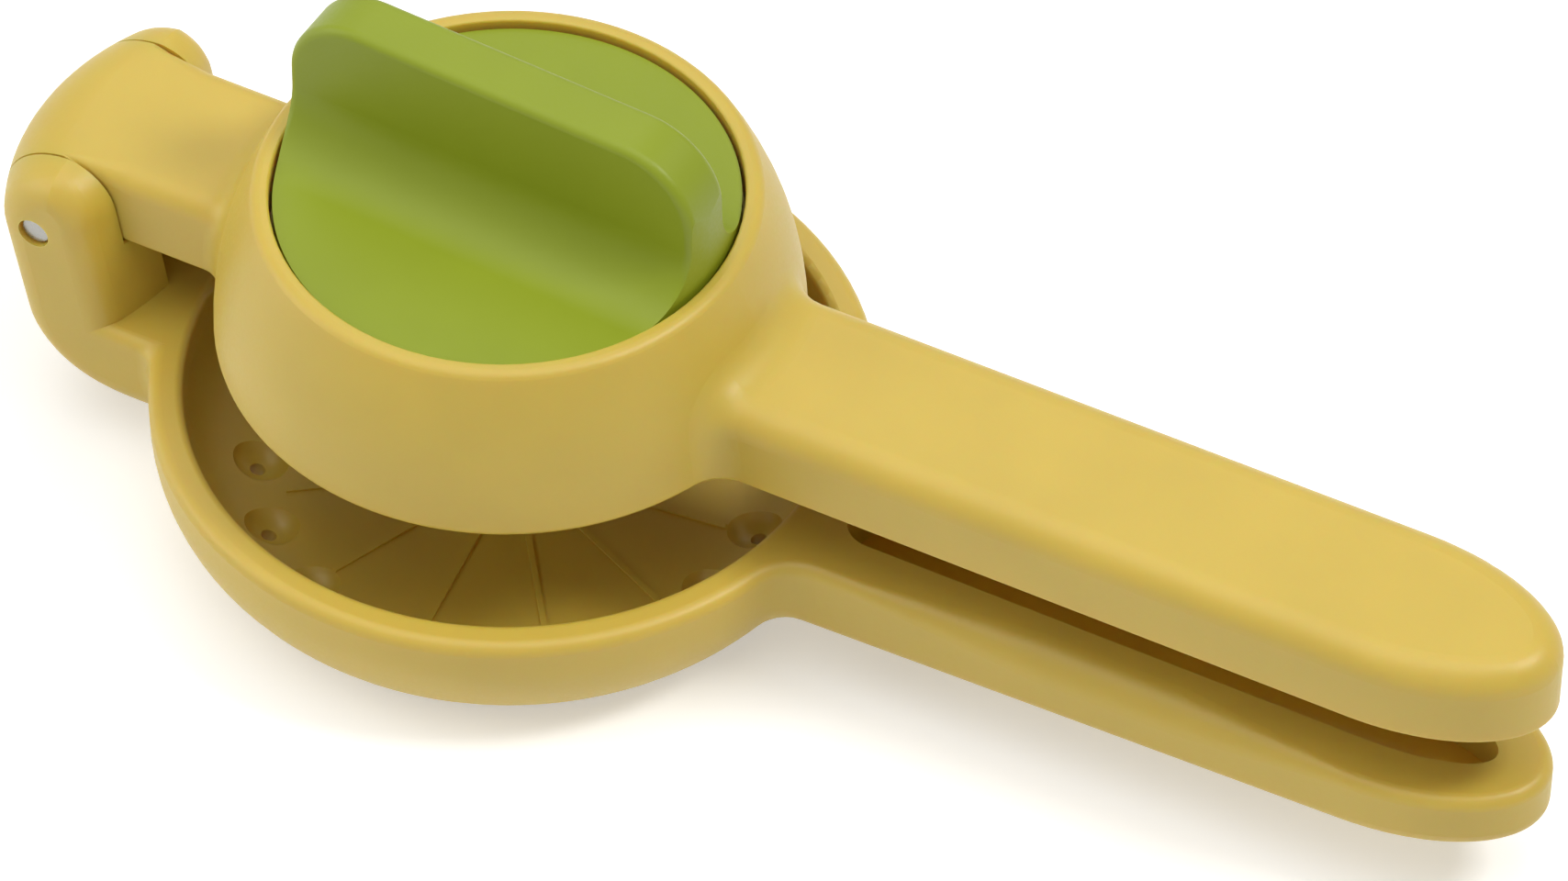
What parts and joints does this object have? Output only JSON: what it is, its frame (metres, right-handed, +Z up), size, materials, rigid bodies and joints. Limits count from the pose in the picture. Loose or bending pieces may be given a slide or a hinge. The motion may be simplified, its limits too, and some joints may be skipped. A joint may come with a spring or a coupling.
{
  "type": "lemon squeezer",
  "caption": "Hand citrus squeezer: two hinged plastic arms, a drained bowl below and a round housing above that carries a twist knob with a fluted reamer.",
  "frame": {"origin": "on the bowl's axis, on the flat foot that the squeezer stands on", "axes": "+X along the grips away from the hinge, +Z up out of the bowl, +Y across the grips"},
  "size_m": [0.2296, 0.1, 0.081],
  "materials": {
    "yellow_plastic": "satin moulded plastic",
    "green_plastic": "satin moulded plastic",
    "pale_plastic": "smooth plain plastic",
    "steel": "turned stainless steel",
    "brass": "turned brass",
    "seal_rubber": "smooth rubber"
  },
  "bodies": {
    "lower_arm": {"bowl_arm": "yellow_plastic", "hinge_pin": "steel"},
    "upper_arm": {"press_arm": "yellow_plastic", "hinge_bush_left": "pale_plastic", "hinge_bush_right": "pale_plastic", "knob_glide": "pale_plastic", "reamer_glide": "pale_plastic"},
    "twister": {"twist_knob": "green_plastic", "knob_insert": "brass", "hub_seal": "seal_rubber", "reamer": "yellow_plastic", "reamer_screw": "steel", "screw_washer": "steel", "reamer_plug": "green_plastic"}
  },
  "joints": [
    {"name": "arm_hinge", "type": "hinge", "parent": "lower_arm", "child": "upper_arm", "pos_m": [-0.0642, 0, 0.0369], "axis": [0, -1, 0], "range_deg": [0, 130]},
    {"name": "knob_turn", "type": "hinge", "parent": "upper_arm", "child": "twister", "pos_m": [0, 0, 0.0581], "axis": [0, 0, 1], "continuous": true}
  ]
}
